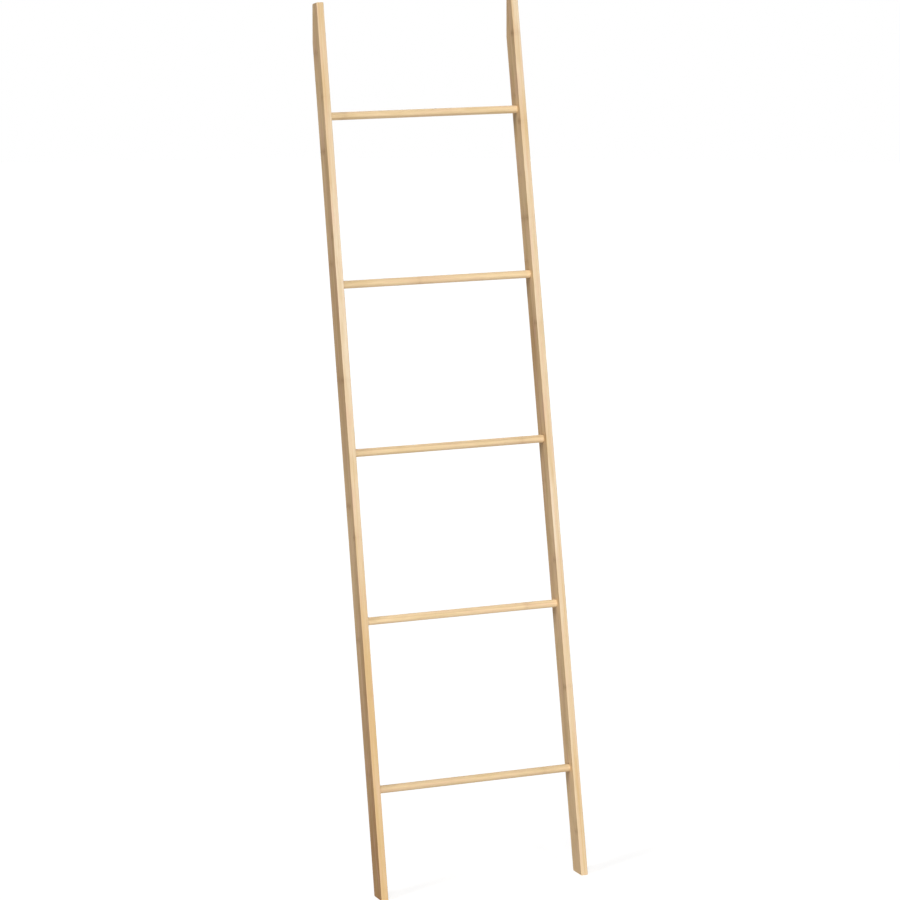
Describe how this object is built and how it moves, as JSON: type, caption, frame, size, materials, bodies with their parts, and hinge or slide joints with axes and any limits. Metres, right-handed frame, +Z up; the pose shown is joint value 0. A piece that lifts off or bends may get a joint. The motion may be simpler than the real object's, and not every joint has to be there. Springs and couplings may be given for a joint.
{
  "type": "leaning ladder",
  "caption": "Bamboo ladder that leans on a wall, with flat rails cut level at the feet and upright at the wall, joined by plain round rungs for hanging towels or blankets.",
  "frame": {"origin": "on the floor, midway between the rails and midway between the front of the feet and the wall", "axes": "+X along the rungs to the right as seen from in front, +Y back to the wall, +Z up"},
  "size_m": [0.456, 0.3699, 1.7661],
  "materials": {
    "bamboo_rail": "laminated bamboo, satin clear lacquer",
    "bamboo_rung": "turned bamboo, satin clear lacquer"
  },
  "bodies": {
    "root": {"left_rail": "bamboo_rail", "right_rail": "bamboo_rail", "rung_1": "bamboo_rung", "rung_2": "bamboo_rung", "rung_3": "bamboo_rung", "rung_4": "bamboo_rung", "rung_5": "bamboo_rung"}
  },
  "joints": []
}
